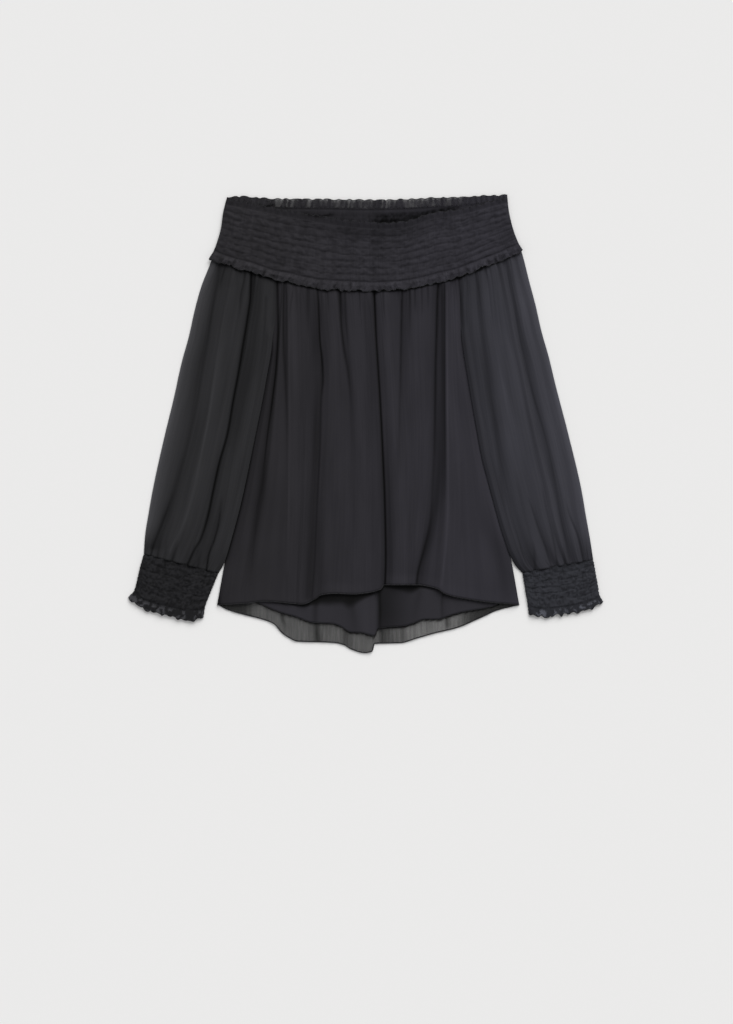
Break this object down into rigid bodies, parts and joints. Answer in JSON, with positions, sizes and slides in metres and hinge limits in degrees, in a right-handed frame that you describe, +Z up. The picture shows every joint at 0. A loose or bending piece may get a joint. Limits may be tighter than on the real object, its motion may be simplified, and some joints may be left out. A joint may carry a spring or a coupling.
{
  "type": "off-the-shoulder blouse",
  "caption": "Off-the-shoulder blouse laid flat: shirred band with ruffled edges round the top, long full sleeves gathered into shirred cuffs, and a hem that dips at the back.",
  "frame": {"origin": "on the floor that the blouse lies on, under the middle of the blouse's box", "axes": "+X across the blouse towards the sleeve on the picture's right, +Y from the hem towards the neck, +Z up from the floor"},
  "size_m": [0.664, 0.6402, 0.009],
  "materials": {
    "shirred_chiffon": "near-black crinkled chiffon, shirred with elastic thread, matt",
    "shirred_chiffon_back": "near-black crinkled chiffon, shirred, with a sheer ruffle at its edge, matt",
    "crinkle_chiffon": "near-black chiffon with a fine lengthways crinkle, matt",
    "sheer_chiffon": "one sheer layer of near-black crinkled chiffon, matt",
    "lining": "near-black plain woven lining, soft sheen"
  },
  "bodies": {
    "root": {"band_front": "shirred_chiffon", "band_back": "shirred_chiffon_back", "front_panel": "crinkle_chiffon", "back_panel": "sheer_chiffon", "back_lining": "lining", "sleeve_left": "crinkle_chiffon", "sleeve_right": "crinkle_chiffon", "cuff_left": "shirred_chiffon", "cuff_right": "shirred_chiffon"}
  },
  "joints": []
}
